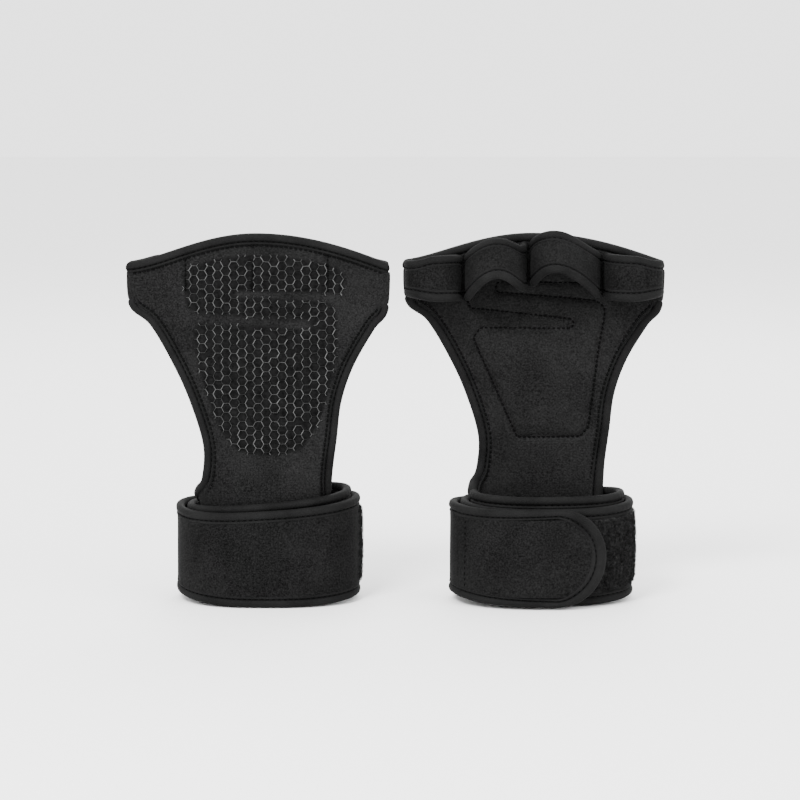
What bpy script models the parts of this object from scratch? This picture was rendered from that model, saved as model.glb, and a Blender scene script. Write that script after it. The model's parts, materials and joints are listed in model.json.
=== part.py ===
"""A pair of neoprene hand grips: padded palm panels with finger loops and long wrist straps.

Both grips stand on their wound straps. The left one turns its gripping side to -Y and the
right one is its mirror image, with its gripping side to +Y. Lengths below are millimetres.
"""
import math

import bmesh
import bpy

MM = 0.001

# Where the two grips stand, and which way each palm faces (1 is -Y, -1 is +Y).
GRIPS = {"left": (-61.8, 1), "right": (62.2, -1)}

# The palm panel: its silhouette from the wrist up, as (x, z), bindings included.
LEFT_EDGE = [(-24.5, 57.5), (-25.0, 73.8), (-30.8, 91.8), (-38.5, 108.9),
             (-48.4, 125.6), (-58.3, 138.2), (-59.6, 153.9)]
RIGHT_EDGE = [(33.1, 57.5), (34.9, 73.8), (37.1, 91.8), (42.5, 107.6),
              (51.5, 123.3), (58.3, 136.8), (59.2, 153.0)]
DOME_RISE = 13.0         # how far the middle of the top edge stands above its corners
DOME_START = 0.35        # share of the panel's height where the rows begin to curve up
PANEL_Y = -16.65         # the middle of the panel's thickness at the wrist
BOW = 0.0024             # the panel curves round the hand: y grows by BOW * x * x
CURL = 4.0               # and its top leans towards the fingers by this much
CURL_HEIGHT = 110.0
EAR_ROW = 10             # rows of the panel up to here carry a bound side edge
ROWS = 12
COLUMNS = 8

LAYER = 1.4              # neoprene layers
FOAM = 1.4
LAYER_STEP = 1.8         # from one layer's middle to the next one's
PRINT = 0.5
PRINT_Y = -3.1           # the silicone print's middle, from the panel's middle
GAP = 0.3
EDGE_GAP = 0.9           # from a panel layer to the binding round it
BINDING = 3.8            # how far the edge binding reaches in from the silhouette
BINDING_THICK = 5.6
BINDING_STOP = 0.12      # share of a row that the side binding stops short of the ear
TOP_TUCK = 0.8           # share of the height where the layers begin to leave the top binding room

# The pad, an S of three lobes: its sides as (x, z) from the wrist up, and two slits.
PAD_LEFT = [(-8.0, 69.0), (-16.0, 80.0), (-23.0, 97.0), (-27.0, 112.0), (-30.0, 120.0),
            (-33.5, 135.0), (-32.0, 147.0)]
PAD_RIGHT = [(17.0, 69.0), (24.5, 80.0), (28.5, 97.0), (31.5, 112.0), (33.0, 120.0),
             (35.5, 135.0), (37.0, 148.0)]
PAD_ROWS = 16
PAD_COLUMNS = 10
PAD_DOME = 6.0
PAD_DOME_START = 0.5
LOWER_SLIT = (9, 0, 7)   # row of the pad, and the columns that the slit runs over
UPPER_SLIT = (12, 3, 10)

# Finger loops: ends along x, how far each stands off the panel, and how far it arches up.
LOOPS = [(-58.0, -32.2, 13.0, 2.0), (-32.2, -2.5, 18.0, 9.0),
         (-2.5, 30.8, 18.0, 9.0), (30.8, 58.0, 13.0, 2.0)]
LOOP_THICK = 2.6
LOOP_WIDTH = 21.0
LOOP_MARGIN = 2.2        # from a loop's end to the seam beside it
LOOP_FOOT = 3.3          # from the panel's middle to a loop's ends
LOOP_SEGMENTS = 12
LOOP_BASE_Z = 135.0      # lower edge of the outer loops
LOOP_BASE_RISE = 1.5     # how much higher the middle loops start

# The wrist strap, wound more than two turns round an oval, from the panel's -X side.
RING_X = 5.0
RING_A = 32.0
RING_B = 18.0
ROUNDNESS = 2.5          # exponent of the superellipse
PITCH = 4.2              # radial growth for each turn
TAIL_LIFT = 2.0          # extra growth where the tail crosses the fastening patch
TAIL_LIFT_FROM = 690.0
TAIL_LIFT_OVER = 60.0
STRAP = 3.2
STRAP_WIDTH = 44.0
STRAP_BINDING = 3.8
FIRST_TURN_LIFT = 5.6    # the first turn stands above the second
FLAT_FROM = 540.0        # degrees of winding after which the strap stands on the floor
STRAP_END = 746.0        # the seam where the free tail begins
STRAP_STEPS = 60
TAIL_START = 752.0
TAIL_END = 834.0
TAIL_STEPS = 11
TAIL_ROUND = 0.66        # share of the tail's length where its end starts to round off
TAIL_TIP = 0.35          # height left at the tip, as a share of the full height
TAIL_Z = 1.0
TIP_REACH = 11.0         # degrees of winding that the tail's binding reaches past its fabric
TIP_TUCK = 5.5           # and that the binding's inner edge stands back from the outer one
PATCH_THICK = 0.8
PATCH_STEPS = 18
PATCH_OFF = 2.5          # from a strap's middle to the middle of a patch on it
LOOP_PATCH = (410.0, 550.0)
HOOK_PATCH = (764.0, 816.0)
PATCH_MARGIN = 5.5       # from a patch to the strap's edges

# The panel's foot, sewn inside the first turn.
TAB = (215.0, 350.0)
TAB_THICK = 5.0
TAB_IN = -5.0
TAB_Z = (8.0, 50.0)
TAB_STEPS = 12

# The wrist fold and the tail's seam are where the pieces swing.
FOLD_Z = 55.0
TAIL_SEAM = 748.0
SEAM_LIFT = 2.0          # the tail swings about the strap's outer face

COLOURS = {
    "neoprene": ((0.022, 0.022, 0.023), 0.85),
    "binding": ((0.016, 0.016, 0.017), 0.8),
    "foam": ((0.05, 0.05, 0.05), 0.95),
    "silicone": ((0.09, 0.09, 0.09), 0.35),
    "loop_pile": ((0.013, 0.013, 0.013), 1.0),
    "hook": ((0.02, 0.02, 0.02), 0.6),
}


def clear_scene():
    """Remove every object and the collections left from another run."""
    for thing in list(bpy.data.objects):
        bpy.data.objects.remove(thing)
    for group in list(bpy.data.collections):
        bpy.data.collections.remove(group)


def material(name):
    """One Principled material from the colour table."""
    colour, roughness = COLOURS[name]
    made = bpy.data.materials.new(name)
    made.use_nodes = True
    shader = made.node_tree.nodes["Principled BSDF"]
    shader.inputs["Base Color"].default_value = (*colour, 1.0)
    shader.inputs["Roughness"].default_value = roughness
    shader.inputs["Metallic"].default_value = 0.0
    return made


def smooth_step(x):
    """Rise from 0 to 1 with level ends."""
    x = min(max(x, 0.0), 1.0)
    return x * x * (3.0 - 2.0 * x)


def through(points, share):
    """A point on the smooth curve through the points, share running from 0 to 1."""
    place = min(max(share, 0.0), 1.0) * (len(points) - 1)
    i = min(int(place), len(points) - 2)
    t = place - i
    before, here = points[max(i - 1, 0)], points[i]
    there, after = points[i + 1], points[min(i + 2, len(points) - 1)]
    found = []
    for p0, p1, p2, p3 in zip(before, here, there, after):
        slope_1 = (p2 - p0) / 2.0
        slope_2 = (p3 - p1) / 2.0
        bend = 2.0 * (p1 - p2) + slope_1 + slope_2
        lean = 3.0 * (p2 - p1) - 2.0 * slope_1 - slope_2
        found.append(((bend * t + lean) * t + slope_1) * t + p1)
    return found


def inset(points, share, reach, side):
    """The point of an edge moved in by reach; side is 1 for the -X edge and -1 for +X."""
    step = 0.01
    low = through(points, share - step)
    high = through(points, share + step)
    along = (high[0] - low[0], high[1] - low[1])
    length = math.hypot(*along)
    x, z = through(points, share)
    return x + side * along[1] / length * reach, z - side * along[0] / length * reach


def panel_depth(x, z):
    """The y of the panel's middle surface over a point of its outline."""
    up = max(z - FOLD_Z, 0.0) / CURL_HEIGHT
    return PANEL_Y + BOW * x * x + CURL * up * up


def dome(across, up):
    """How far a panel row curves up, across running from -1 to 1."""
    weight = smooth_step((up - DOME_START) / (1.0 - DOME_START))
    return DOME_RISE * (1.0 - across * across) * weight


def sheet(name, columns, rows, place, thickness, look, drop=None):
    """An open surface from a grid primitive, thickened by Solidify to one closed body.

    place gives millimetres for across and up, both from 0 to 1. drop names the cells left out.
    """
    mesh = bpy.data.meshes.new(name)
    shape = bmesh.new()
    bmesh.ops.create_grid(shape, x_segments=columns, y_segments=rows, size=0.5)
    if drop:
        middles = [(face, face.calc_center_median()) for face in shape.faces]
        lost = [face for face, at in middles
                if drop(int((at.x + 0.5) * columns), int((at.y + 0.5) * rows))]
        bmesh.ops.delete(shape, geom=lost, context="FACES")
    for corner in shape.verts:
        across, up = corner.co.x + 0.5, corner.co.y + 0.5
        corner.co = [value * MM for value in place(across, up)]
    shape.to_mesh(mesh)
    shape.free()
    thing = bpy.data.objects.new(name, mesh)
    thing.data.materials.append(look)
    solid = thing.modifiers.new("thickness", "SOLIDIFY")
    solid.thickness = thickness * MM
    solid.offset = 0.0
    solid.use_even_offset = True
    bpy.context.scene.collection.children["hand_grips"].objects.link(thing)
    return thing


def strap_radius(turn):
    """How far the winding has grown, turn in degrees from its start."""
    lift = smooth_step((turn - TAIL_LIFT_FROM) / TAIL_LIFT_OVER)
    return PITCH * turn / 360.0 + TAIL_LIFT * lift


def strap_point(turn, lift):
    """A point on the winding at an angle, lift millimetres out from the strap's middle."""
    angle = math.radians(180.0 - turn)
    c, s = math.cos(angle), math.sin(angle)
    power = 2.0 / ROUNDNESS
    x = math.copysign(RING_A * abs(c) ** power, c)
    y = math.copysign(RING_B * abs(s) ** power, s)
    out_x = math.copysign(abs(c) ** (2.0 - power) / RING_A, c)
    out_y = math.copysign(abs(s) ** (2.0 - power) / RING_B, s)
    reach = (strap_radius(turn) + lift) / math.hypot(out_x, out_y)
    return x + RING_X + out_x * reach, y + out_y * reach


def strap_foot(turn):
    """The height of the strap's lower edge."""
    if turn > STRAP_END:
        return TAIL_Z
    return FIRST_TURN_LIFT * smooth_step((FLAT_FROM - turn) / FLAT_FROM)


def tail_half_height(share):
    """Half the tail's height along its length, rounded towards the tip."""
    full = STRAP_WIDTH / 2.0
    if share <= TAIL_ROUND:
        return full
    run = (share - TAIL_ROUND) / (1.0 - TAIL_ROUND)
    return full * (TAIL_TIP + (1.0 - TAIL_TIP) * math.sqrt(1.0 - run * run))


class Grip:
    """One grip of the pair: it places points, then makes the pieces."""

    def __init__(self, side, centre, facing, looks):
        self.side = side
        self.centre = centre
        self.facing = facing
        self.looks = looks

    def at(self, x, y, z):
        """A point of the grip in the pair's frame; facing mirrors it front to back."""
        return x + self.centre, y * self.facing, z

    def name(self, piece):
        return f"{self.side}_{piece}"

    def panel_point(self, across, up, depth):
        """A point of a panel layer, inside the bindings."""
        row = round(up * ROWS)
        reach = BINDING + EDGE_GAP if row <= EAR_ROW else GAP
        left = inset(LEFT_EDGE, up, reach, 1)
        right = inset(RIGHT_EDGE, up, reach, -1)
        x = left[0] + (right[0] - left[0]) * across
        z = left[1] + (right[1] - left[1]) * across + dome(2.0 * across - 1.0, up)
        tuck = smooth_step((up - TOP_TUCK) / (1.0 - TOP_TUCK))
        z -= (BINDING + EDGE_GAP) * up * tuck
        return self.at(x, panel_depth(x, z) + depth, z)

    def layer(self, piece, depth, thickness, look):
        return sheet(self.name(piece), COLUMNS, ROWS,
                     lambda across, up: self.panel_point(across, up, depth),
                     thickness, self.looks[look])

    def pad(self, piece, depth, thickness, look):
        """The S-shaped pad or print, with its two slits left open."""
        def place(across, up):
            left, right = through(PAD_LEFT, up), through(PAD_RIGHT, up)
            x = left[0] + (right[0] - left[0]) * across
            crown = smooth_step((up - PAD_DOME_START) / (1.0 - PAD_DOME_START))
            crown *= PAD_DOME * (1.0 - (2.0 * across - 1.0) ** 2)
            z = left[1] + (right[1] - left[1]) * across + crown
            return self.at(x, panel_depth(x, z) + depth, z)

        def in_slit(column, row):
            slits = (LOWER_SLIT, UPPER_SLIT)
            return any(row == at and first <= column < last for at, first, last in slits)

        return sheet(self.name(piece), PAD_COLUMNS, PAD_ROWS, place, thickness,
                     self.looks[look], in_slit)

    def side_binding(self, piece, edge, side):
        """The bound edge from the wrist to the ear."""
        def place(across, up):
            share = min(up * EAR_ROW, EAR_ROW - BINDING_STOP) / ROWS
            x, z = inset(edge, share, BINDING * across, side)
            return self.at(x, panel_depth(x, z), z)

        return sheet(self.name(piece), 1, EAR_ROW, place, BINDING_THICK, self.looks["binding"])

    def top_binding(self):
        """The bound top edge, from ear to ear."""
        def place(across, up):
            left, right = LEFT_EDGE[-1], RIGHT_EDGE[-1]
            x = left[0] + (right[0] - left[0]) * across
            z = left[1] + (right[1] - left[1]) * across + dome(2.0 * across - 1.0, 1.0)
            z -= BINDING * up
            return self.at(x, panel_depth(x, z), z)

        return sheet(self.name("top_binding"), 2 * COLUMNS, 1, place, BINDING_THICK,
                     self.looks["binding"])

    def finger_loop(self, number, start, end, stand, arch):
        """One finger loop: a strap that leaves the panel, passes round a finger and returns."""
        middle = (start + end) / 2.0
        half = (end - start) / 2.0 - LOOP_MARGIN
        reach = 1.0 - abs(middle) / abs(LEFT_EDGE[-1][0])
        foot = LOOP_BASE_Z + LOOP_BASE_RISE * reach

        def place(across, up):
            turn = math.pi * (1.0 - across)
            x = middle + half * math.cos(turn)
            z = foot + arch * math.sin(turn) + LOOP_WIDTH * up
            y = panel_depth(x, foot + LOOP_WIDTH * up) + LOOP_FOOT + stand * math.sin(turn)
            return self.at(x, y, z)

        return sheet(self.name(f"finger_loop_{number}"), LOOP_SEGMENTS, 2, place, LOOP_THICK,
                     self.looks["neoprene"])

    def band(self, piece, span, steps, lift, low, high, thickness, look):
        """A stretch of the winding between two angles; low and high are above its foot."""
        def place(across, up):
            turn = span[0] + (span[1] - span[0]) * across
            x, y = strap_point(turn, lift)
            return self.at(x, y, strap_foot(turn) + low + (high - low) * up)

        return sheet(self.name(piece), steps, 1, place, thickness, self.looks[look])

    def tab(self):
        """The panel's foot, sewn flat inside the first turn of the strap."""
        def place(across, up):
            x, y = strap_point(TAB[0] + (TAB[1] - TAB[0]) * across, TAB_IN)
            return self.at(x, y, TAB_Z[0] + (TAB_Z[1] - TAB_Z[0]) * up)

        return sheet(self.name("panel_foot"), TAB_STEPS, 1, place, TAB_THICK,
                     self.looks["neoprene"])

    def tail(self):
        """The free end of the strap, rounded at its tip."""
        middle = TAIL_Z + STRAP_WIDTH / 2.0

        def place(across, up):
            x, y = strap_point(TAIL_START + (TAIL_END - TAIL_START) * across, 0.0)
            half = tail_half_height(across) - STRAP_BINDING - GAP
            return self.at(x, y, middle + half * (2.0 * up - 1.0))

        return sheet(self.name("strap_tail"), TAIL_STEPS, 2, place, STRAP,
                     self.looks["neoprene"])

    def tail_binding(self):
        """The tail's bound edge: along the top, round the tip and back along the bottom."""
        middle = TAIL_Z + STRAP_WIDTH / 2.0

        def place(across, up):
            share = 1.0 - abs(2.0 * across - 1.0)
            sign = 1.0 if across < 0.5 else -1.0
            flank = TAIL_ROUND / (TAIL_ROUND + 1.0)
            if share <= flank:
                along, angle = TAIL_ROUND * share / flank, math.pi / 2.0
            else:
                run = (share - flank) / (1.0 - flank)
                angle = math.pi / 2.0 * (1.0 - run)
                along = TAIL_ROUND + (1.0 - TAIL_ROUND) * math.cos(angle)
            depth = STRAP_BINDING * up
            half = STRAP_WIDTH / 2.0 - depth
            past = (TIP_REACH - TIP_TUCK * up) * math.cos(angle)
            turn = TAIL_START + (TAIL_END - TAIL_START) * along + past
            x, y = strap_point(turn, 0.0)
            return self.at(x, y, middle + sign * half * math.sin(angle))

        return sheet(self.name("tail_binding"), 4 * TAIL_STEPS, 1, place, STRAP,
                     self.looks["binding"])

    def build(self):
        """Every piece of the grip."""
        self.layer("palm_layer", -LAYER_STEP, LAYER, "neoprene")
        self.layer("palm_lining", LAYER_STEP, LAYER, "neoprene")
        self.pad("foam_pad", 0.0, FOAM, "foam")
        self.pad("silicone_print", PRINT_Y, PRINT, "silicone")
        self.side_binding("side_binding_a", LEFT_EDGE, 1)
        self.side_binding("side_binding_b", RIGHT_EDGE, -1)
        self.top_binding()
        for number, (start, end, stand, arch) in enumerate(LOOPS, 1):
            self.finger_loop(number, start, end, stand, arch)
        self.tab()
        winding = (0.0, STRAP_END)
        inner = STRAP_BINDING + GAP
        self.band("wrist_strap", winding, STRAP_STEPS, 0.0, inner, STRAP_WIDTH - inner,
                  STRAP, "neoprene")
        self.band("strap_top_binding", winding, STRAP_STEPS, 0.0,
                  STRAP_WIDTH - STRAP_BINDING, STRAP_WIDTH, STRAP_BINDING, "binding")
        self.band("strap_bottom_binding", winding, STRAP_STEPS, 0.0, 0.0, STRAP_BINDING,
                  STRAP_BINDING, "binding")
        self.band("loop_patch", LOOP_PATCH, PATCH_STEPS, PATCH_OFF, PATCH_MARGIN,
                  STRAP_WIDTH - PATCH_MARGIN, PATCH_THICK, "loop_pile")
        self.tail()
        self.tail_binding()
        self.band("hook_patch", HOOK_PATCH, PATCH_STEPS, -PATCH_OFF, 2.0 * PATCH_MARGIN,
                  STRAP_WIDTH - 2.0 * PATCH_MARGIN, PATCH_THICK, "hook")


def parent_to_joint(names, joint, place):
    """Hang pieces on an empty at their joint without moving them."""
    pivot = bpy.data.objects.new(joint, None)
    pivot.location = [value * MM for value in place]
    bpy.context.scene.collection.children["hand_grips"].objects.link(pivot)
    bpy.context.view_layer.update()
    for name in names:
        piece = bpy.data.objects[name]
        piece.parent = pivot
        piece.matrix_parent_inverse = pivot.matrix_world.inverted()


def main():
    clear_scene()
    group = bpy.data.collections.new("hand_grips")
    bpy.context.scene.collection.children.link(group)
    looks = {name: material(name) for name in COLOURS}
    for side, (centre, facing) in GRIPS.items():
        grip = Grip(side, centre, facing, looks)
        grip.build()
        palm = ["palm_layer", "palm_lining", "foam_pad", "silicone_print", "side_binding_a",
                "side_binding_b", "top_binding"]
        palm += [f"finger_loop_{number}" for number in range(1, len(LOOPS) + 1)]
        parent_to_joint([grip.name(piece) for piece in palm], grip.name("wrist_fold"),
                        grip.at(RING_X, PANEL_Y, FOLD_Z))
        seam_x, seam_y = strap_point(TAIL_SEAM, SEAM_LIFT)
        tail = ["strap_tail", "tail_binding", "hook_patch"]
        parent_to_joint([grip.name(piece) for piece in tail], grip.name("tail_peel"),
                        grip.at(seam_x, seam_y, STRAP_WIDTH / 2.0))


main()
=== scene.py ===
"""Looks for a pair of neoprene hand grips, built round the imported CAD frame.

Lengths are millimetres in each grip's own axes: x across, y front to back with the palm at -y,
z up. Grip.make() turns them into metres in the frame, mirrored front to back for the right one.
"""
import json
import math

import bpy
import numpy as np
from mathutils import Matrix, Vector


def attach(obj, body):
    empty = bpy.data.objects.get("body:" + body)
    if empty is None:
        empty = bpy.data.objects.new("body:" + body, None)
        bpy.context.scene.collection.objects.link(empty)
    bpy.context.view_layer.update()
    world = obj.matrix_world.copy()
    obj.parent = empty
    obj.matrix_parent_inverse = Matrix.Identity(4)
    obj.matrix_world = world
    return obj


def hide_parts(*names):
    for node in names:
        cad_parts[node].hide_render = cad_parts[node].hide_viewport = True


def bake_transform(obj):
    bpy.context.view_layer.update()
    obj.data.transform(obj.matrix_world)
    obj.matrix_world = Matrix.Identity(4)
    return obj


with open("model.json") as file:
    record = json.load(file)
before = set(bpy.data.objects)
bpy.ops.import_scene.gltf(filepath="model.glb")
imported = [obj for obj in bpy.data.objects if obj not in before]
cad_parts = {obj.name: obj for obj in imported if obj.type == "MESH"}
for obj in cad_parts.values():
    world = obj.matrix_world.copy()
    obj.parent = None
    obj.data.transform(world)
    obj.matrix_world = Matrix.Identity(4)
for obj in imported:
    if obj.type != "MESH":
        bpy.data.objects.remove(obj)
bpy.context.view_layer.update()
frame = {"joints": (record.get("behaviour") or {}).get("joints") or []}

MM = 0.001
JOINTS = {joint["name"]: joint for joint in frame["joints"]}

# Camera and room.
VIEW_WIDTH = 0.3619  # metres across the picture at the grips
VIEW_CENTRE = (0.0015, 0, 0.0905)
VIEW_ELEVATION = 8
LENS = 150
SENSOR = 36
LIGHTS = [("key", (-0.5, -0.9, 1.1), (0, 0, 0.08), 0.5, 34),  # place, aim, size, watts
          ("fill", (0.9, -0.7, 0.6), (0, 0, 0.08), 0.8, 8),
          ("rim", (0.1, 0.9, 0.9), (0, 0, 0.10), 0.6, 10)]
WORLD_STRENGTH = 2.7
FLOOR_SIZE = 6
FLOOR_DROP = 0.0002  # metres between the floor and the grips
FLOOR_GREY = 0.9

# The palm panel's silhouette as (s, z), s being the distance across along its surface.
LEFT_LINE = [(-38, 9), (-38, 26), (-38, 40), (-39.5, 47.5), (-31.8, 52.3), (-26.2, 57.5),
             (-25, 72), (-30.8, 91.8), (-38.5, 108.9), (-48.4, 125.6), (-58.2, 134.6),
             (-59.6, 153.9)]
RIGHT_LINE = [(33, 9), (33, 24), (33, 37), (33, 47), (33, 54), (33.3, 62), (35, 75), (37.1, 91.8),
              (42.5, 107.6), (51.5, 123.3), (58, 132.2), (59.2, 153)]
LEFT_BOUND = 0.265  # share of the left line where its binding leaves the strap's
RIGHT_BOUND = 0.19
EAR = 0.913  # share of both lines where the bound edge ends and the ear begins
EAR_LAP = 0.012  # the binding runs on a little past the start of the ear
TUCK = 4.5  # how far the panel's cloth stops inside a bound edge
EAR_TUCK = 1
TOP_TUCK_FROM = 0.93  # share of both lines where the cloth begins to stop short of the top
DOME_RISES = {"left": 13.9, "right": 11.8}
DOME_START = 0.6
LEFT_DOME = 1.7  # the top edge is hollower on its left than on its right
RIGHT_DOME = 1.12
PANEL_Y = -16.65
BOW = 0.0024
CURL = 4
CURL_HEIGHT = 110
FOLD_Z = 55
FOOT_Z = 41  # below this the panel follows the oval of the strap
FREE_Z = 64  # above this it keeps its own gentle bow
PANEL_ROWS = 150
PANEL_COLUMNS = 104
SHEET_HALF = 1.5  # half the panel's thickness away from the pad
PAD_RISE = 1.7
PAD_BACK_RISE = 0.9
SEAM_DEPTH = 1  # how far a stitched line is pulled in
SEAM_WIDTH = 0.85

# Soft waves in the cloth, as (length, height, seed).
PALM_RIPPLE = (34, 0.35, 3)
HAND_RIPPLE = (30, 0.3, 5)
STRAP_RIPPLE = (27, 0.55, 11)
STRAP_EDGE_RIPPLE = (27, 0.2, 12)
TAIL_RIPPLE = (24, 0.35, 21)

# The S-shaped pad's outline as (s, z): round the three lobes and into the two slits.
PAD_LINE = [(-30, 153.6), (-14, 157), (3, 158), (20, 156.4), (36, 151.8), (39.5, 146.5),
            (37.5, 139.8), (14, 140.5), (-9, 141.3), (-10.8, 140.3), (-9, 139.3), (12, 138.5),
            (32, 137), (35.2, 131), (35.3, 117), (32.5, 99.6), (27, 81.8), (19, 69.8), (4, 67.2),
            (-9, 69.2), (-17, 78), (-23.5, 95), (-28.5, 114), (-29.3, 124), (-26.5, 127.2),
            (0, 126.2), (22, 124.4), (24.5, 126.1), (22, 127.8), (0, 129.6), (-26.5, 131),
            (-32, 134), (-33.8, 145)]

# The line stitched round the pad on the hand's side, straighter than the pad itself.
HAND_LINE = [(-7.2, 71.2), (21.6, 71.6), (25.4, 76), (27.2, 90), (29.6, 111), (32.4, 127.6),
             (32.2, 131.6), (28.6, 134.4), (-16.6, 138.2), (-17.4, 140.5), (-16.6, 142.8),
             (24, 142.4), (34, 146), (33, 151), (18, 155), (3, 156.6), (-12, 155.6), (-28, 152),
             (-31.5, 145), (-31, 136), (-29, 131), (17.8, 125.8), (18.4, 123.7), (17.4, 121.6),
             (-24.3, 122), (-27.6, 117.4)]

# The pad's cover, simulated ten times larger than life, which suits the solver.
PILLOW_S = np.linspace(-44, 46, 61)
PILLOW_Z = np.linspace(60, 166, 73)
PILLOW_SCALE = 0.01
PILLOW_FRAMES = 20
PILLOW_CLOTH = {"quality": 6, "mass": 0.25, "tension_stiffness": 12,
                "compression_stiffness": 8, "shear_stiffness": 5,
                "bending_stiffness": 1.2, "shrink_min": -0.05}
PILLOW_SEWN = 0.6  # the cloth is sewn down up to this far inside the pad's outline
PILLOW_PUFF = 0.55  # share of the pad's rise that comes from the simulation

# Finger strap: where it is sewn down, how high the seams sit, and for each arch how far it
# stands off, how high it rises, how far it leans back (in radians) and where it peaks.
SEAMS = [-57.4, -32.2, -2.5, 30.8, 56.9]
SEAM_RISES = [0.2, -1, 4.5, 0.3, 0.2]
STANDS = [12.5, 16, 16, 12.5]
RISES = {"left": [0.3, 8.5, 9.5, 0.3], "right": [0.3, 9.2, 11.6, 0.3]}
TILTS = [0.30, 0.66, 0.66, 0.30]
PEAKS = [1, 1, 0.62, 1]
FINGER_WIDTH = 21
FINGER_HALF = 1.3
FINGER_BINDING_HALF = FINGER_HALF + 0.45
FINGER_CROWN = 1.2  # the strap stands this much higher in the middle of the panel
FINGER_REACH = 60
FINGER_NARROWING = 2.2  # the strap is narrower where it is sewn to the ears
FINGER_NARROW_FROM = 44
FINGER_FOOT_Z = 135
FINGER_MARGIN = 2.2
FINGER_OFF = 3.3
FINGER_END_OFF = 1.3  # the strap's two ends are sewn to the ears
HAND_THREAD_LIFT = 0.5  # how proud of the cloth the stitches lie
SEAM_THREAD_LIFT = 0.45

# The wrist strap's winding.
RING_X = 5
PANEL_CENTRE = (RING_X, 110)
RING_A = 32
RING_B = 18
ROUNDNESS = 2.5
PITCH = 4.2
TAIL_LIFT = 2
TAIL_LIFT_FROM = 690
TAIL_LIFT_OVER = 60
STRAP_HALF = 1.5
STRAP_WIDTH = 44
FIRST_TURN_LIFT = 5.6
FLAT_FROM = 540
SETTLE_FROM = 690  # from here the strap rises to the height of its tail
SETTLE_OVER = 50
STRAP_SPAN = (-3, 749)
STRAP_STEP = 1.6
STRAP_ROWS = 20
PINCH_PITCH = 6.5  # the cloth puckers beside its bound edges
PINCH_DEPTH = 0.10
PINCH_OFF = 16  # from the strap's middle
PINCH_SPREAD = 2.2
TOP_TILTS = {"left": 2.4, "right": 0.7}  # the upper edge stands higher towards +x
END_RISE = 2  # both ends of the oval stand a little off the floor
END_REACH = 37
TAIL_FROM = 744.5
TAIL_PROUD = 0.4  # the tail is sewn over the strap's end
TAIL_TIP = 848
TAIL_SEAM = 5  # the cross stitches lie this far past the seam
TAIL_ROUND = 21  # length of the tail's rounded end
TIP_WIDER = 1.4  # the binding is this much wider round the tail's tip
TAIL_Z = 1
FOOT_LIFT = -1.2  # the panel's foot lies inside the strap
PATCH_TURNS = (410, 550)
PATCH_MARGIN = 5.5
PATCH_EDGE_LIFT = 1.45  # the pile's face above the strap's middle, at the patch's edge
PATCH_BULGE = 1  # and how much more in the middle
PATCH_BACK = 1  # its back lies in the strap's cloth
PILE_COUNT = 4600
PILE_LUMPS = 0.12
PILE_SPREADS = (0.5, 1.1)
PILE_RISES = (0.3, 1.3)
PILE_FIBRE = np.array([(-0.07, -0.05), (0.07, -0.05), (0, 0.09)])
DEGREES_A_MM = 2  # degrees of winding in a millimetre, roughly
HOOK_TURNS = (764, 816)
HOOK_PITCH = 1
HOOK_SEWN = 1.1  # the tape is stitched down this far in from its edge
HOOK_CLEAR = 2.2  # and its pegs begin this far in
HOOK_FACE = -2.1  # the tape's face, from the middle of the tail
HOOK_BACK = -1.2
PEG_HALF = 0.17
PEG_LIFTS = np.array([-2, -2.45, -2.8])
PEG_LEANS = np.array([0, 0, 0.35])

# Edge binding: its section as (in from the edge, off the middle), for a half thickness of 1.
BINDING_SECTION = [(0, 0), (0.15, 0.45), (0.7, 0.84), (1.7, 1), (2.7, 0.96), (3.25, 0.74),
                   (3.55, 0.44), (3.9, 0.44), (4.2, 0.80), (4.6, 0.88), (5, 0.74), (5.4, 0.40)]
SIDE_BINDING_HALF = 2.25
TOP_BINDING_HALF = 2.5
STRAP_BINDING_HALF = 1.95
TAIL_BINDING_HALF = 2
EDGE_STEP = 0.9  # stations along a bound edge
GROOVE_IN = 3.72
GROOVE_SHARE = 0.46
LIP_IN = 5.5  # the second row of stitches, along the binding's inner edge
LIP_OUT = 1.6
END_ROUND = 2.4  # a binding's free end is rounded over this length

# Stitches as (pitch, length, radius). One is a bowed bar: stations as shares of its length,
# and its rise and half width there in radii.
STITCH_PITCH = 2.6
GROOVE_STITCH = (STITCH_PITCH, 1.7, 0.24)
TAIL_STITCH = (STITCH_PITCH, 1.7, 0.3)
LIP_STITCH = (2.2, 2, 0.38)
HAND_STITCH = (2.2, 1.6, 0.36)
SEAM_STITCH = (2.2, 1.6, 0.42)
STITCH_SHARES = np.array([0, 0.22, 0.5, 0.78, 1])
STITCH_RISES = np.array([-1.2, 0.3, 0.7, 0.3, -1.2])
STITCH_WIDTHS = np.array([0.5, 0.9, 1, 0.9, 0.5])

# Silicone hexagons.
HEX_SIDE = 2.35
HEX_WIDTH = 0.23
HEX_HEIGHT = 0.42
HEX_MARGIN = 0.35
HEX_COLUMNS = range(-16, 18)
HEX_ROWS = range(12, 46)
HEX_WANDER = 0.07
HEX_LOST = 0.035  # share of the lines worn away
HEX_WEAR = (0.75, 1.15)
WEAR_AND_GLINT_LYING = (0.05, 0.55)  # how pale a line is, lying flat or standing: random wear, and a painted highlight that makes standing lines paler
WEAR_AND_GLINT_STANDING = (0.25, 1.1)
HEX_SHARES = np.array([-0.04, 0.33, 0.67, 1.04])
HEX_PROFILE = np.array([(-1, -0.6), (-0.75, 0.35), (-0.3, 0.9), (0.3, 0.9), (0.75, 0.35),
                        (1, -0.6)])

SHARP_ANGLE = 60

rng = np.random.default_rng(7)


# ---- camera, light and floor ----

def new_object(name, data):
    """A new object in the scene."""
    thing = bpy.data.objects.new(name, data)
    bpy.context.scene.collection.objects.link(thing)
    return thing


def place_looking(name, data, place, direction):
    """A new object at a place in metres, looking along a direction."""
    thing = new_object(name, data)
    thing.location = place
    thing.rotation_mode = "QUATERNION"
    thing.rotation_quaternion = direction.to_track_quat("-Z", "Y")
    return thing


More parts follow.
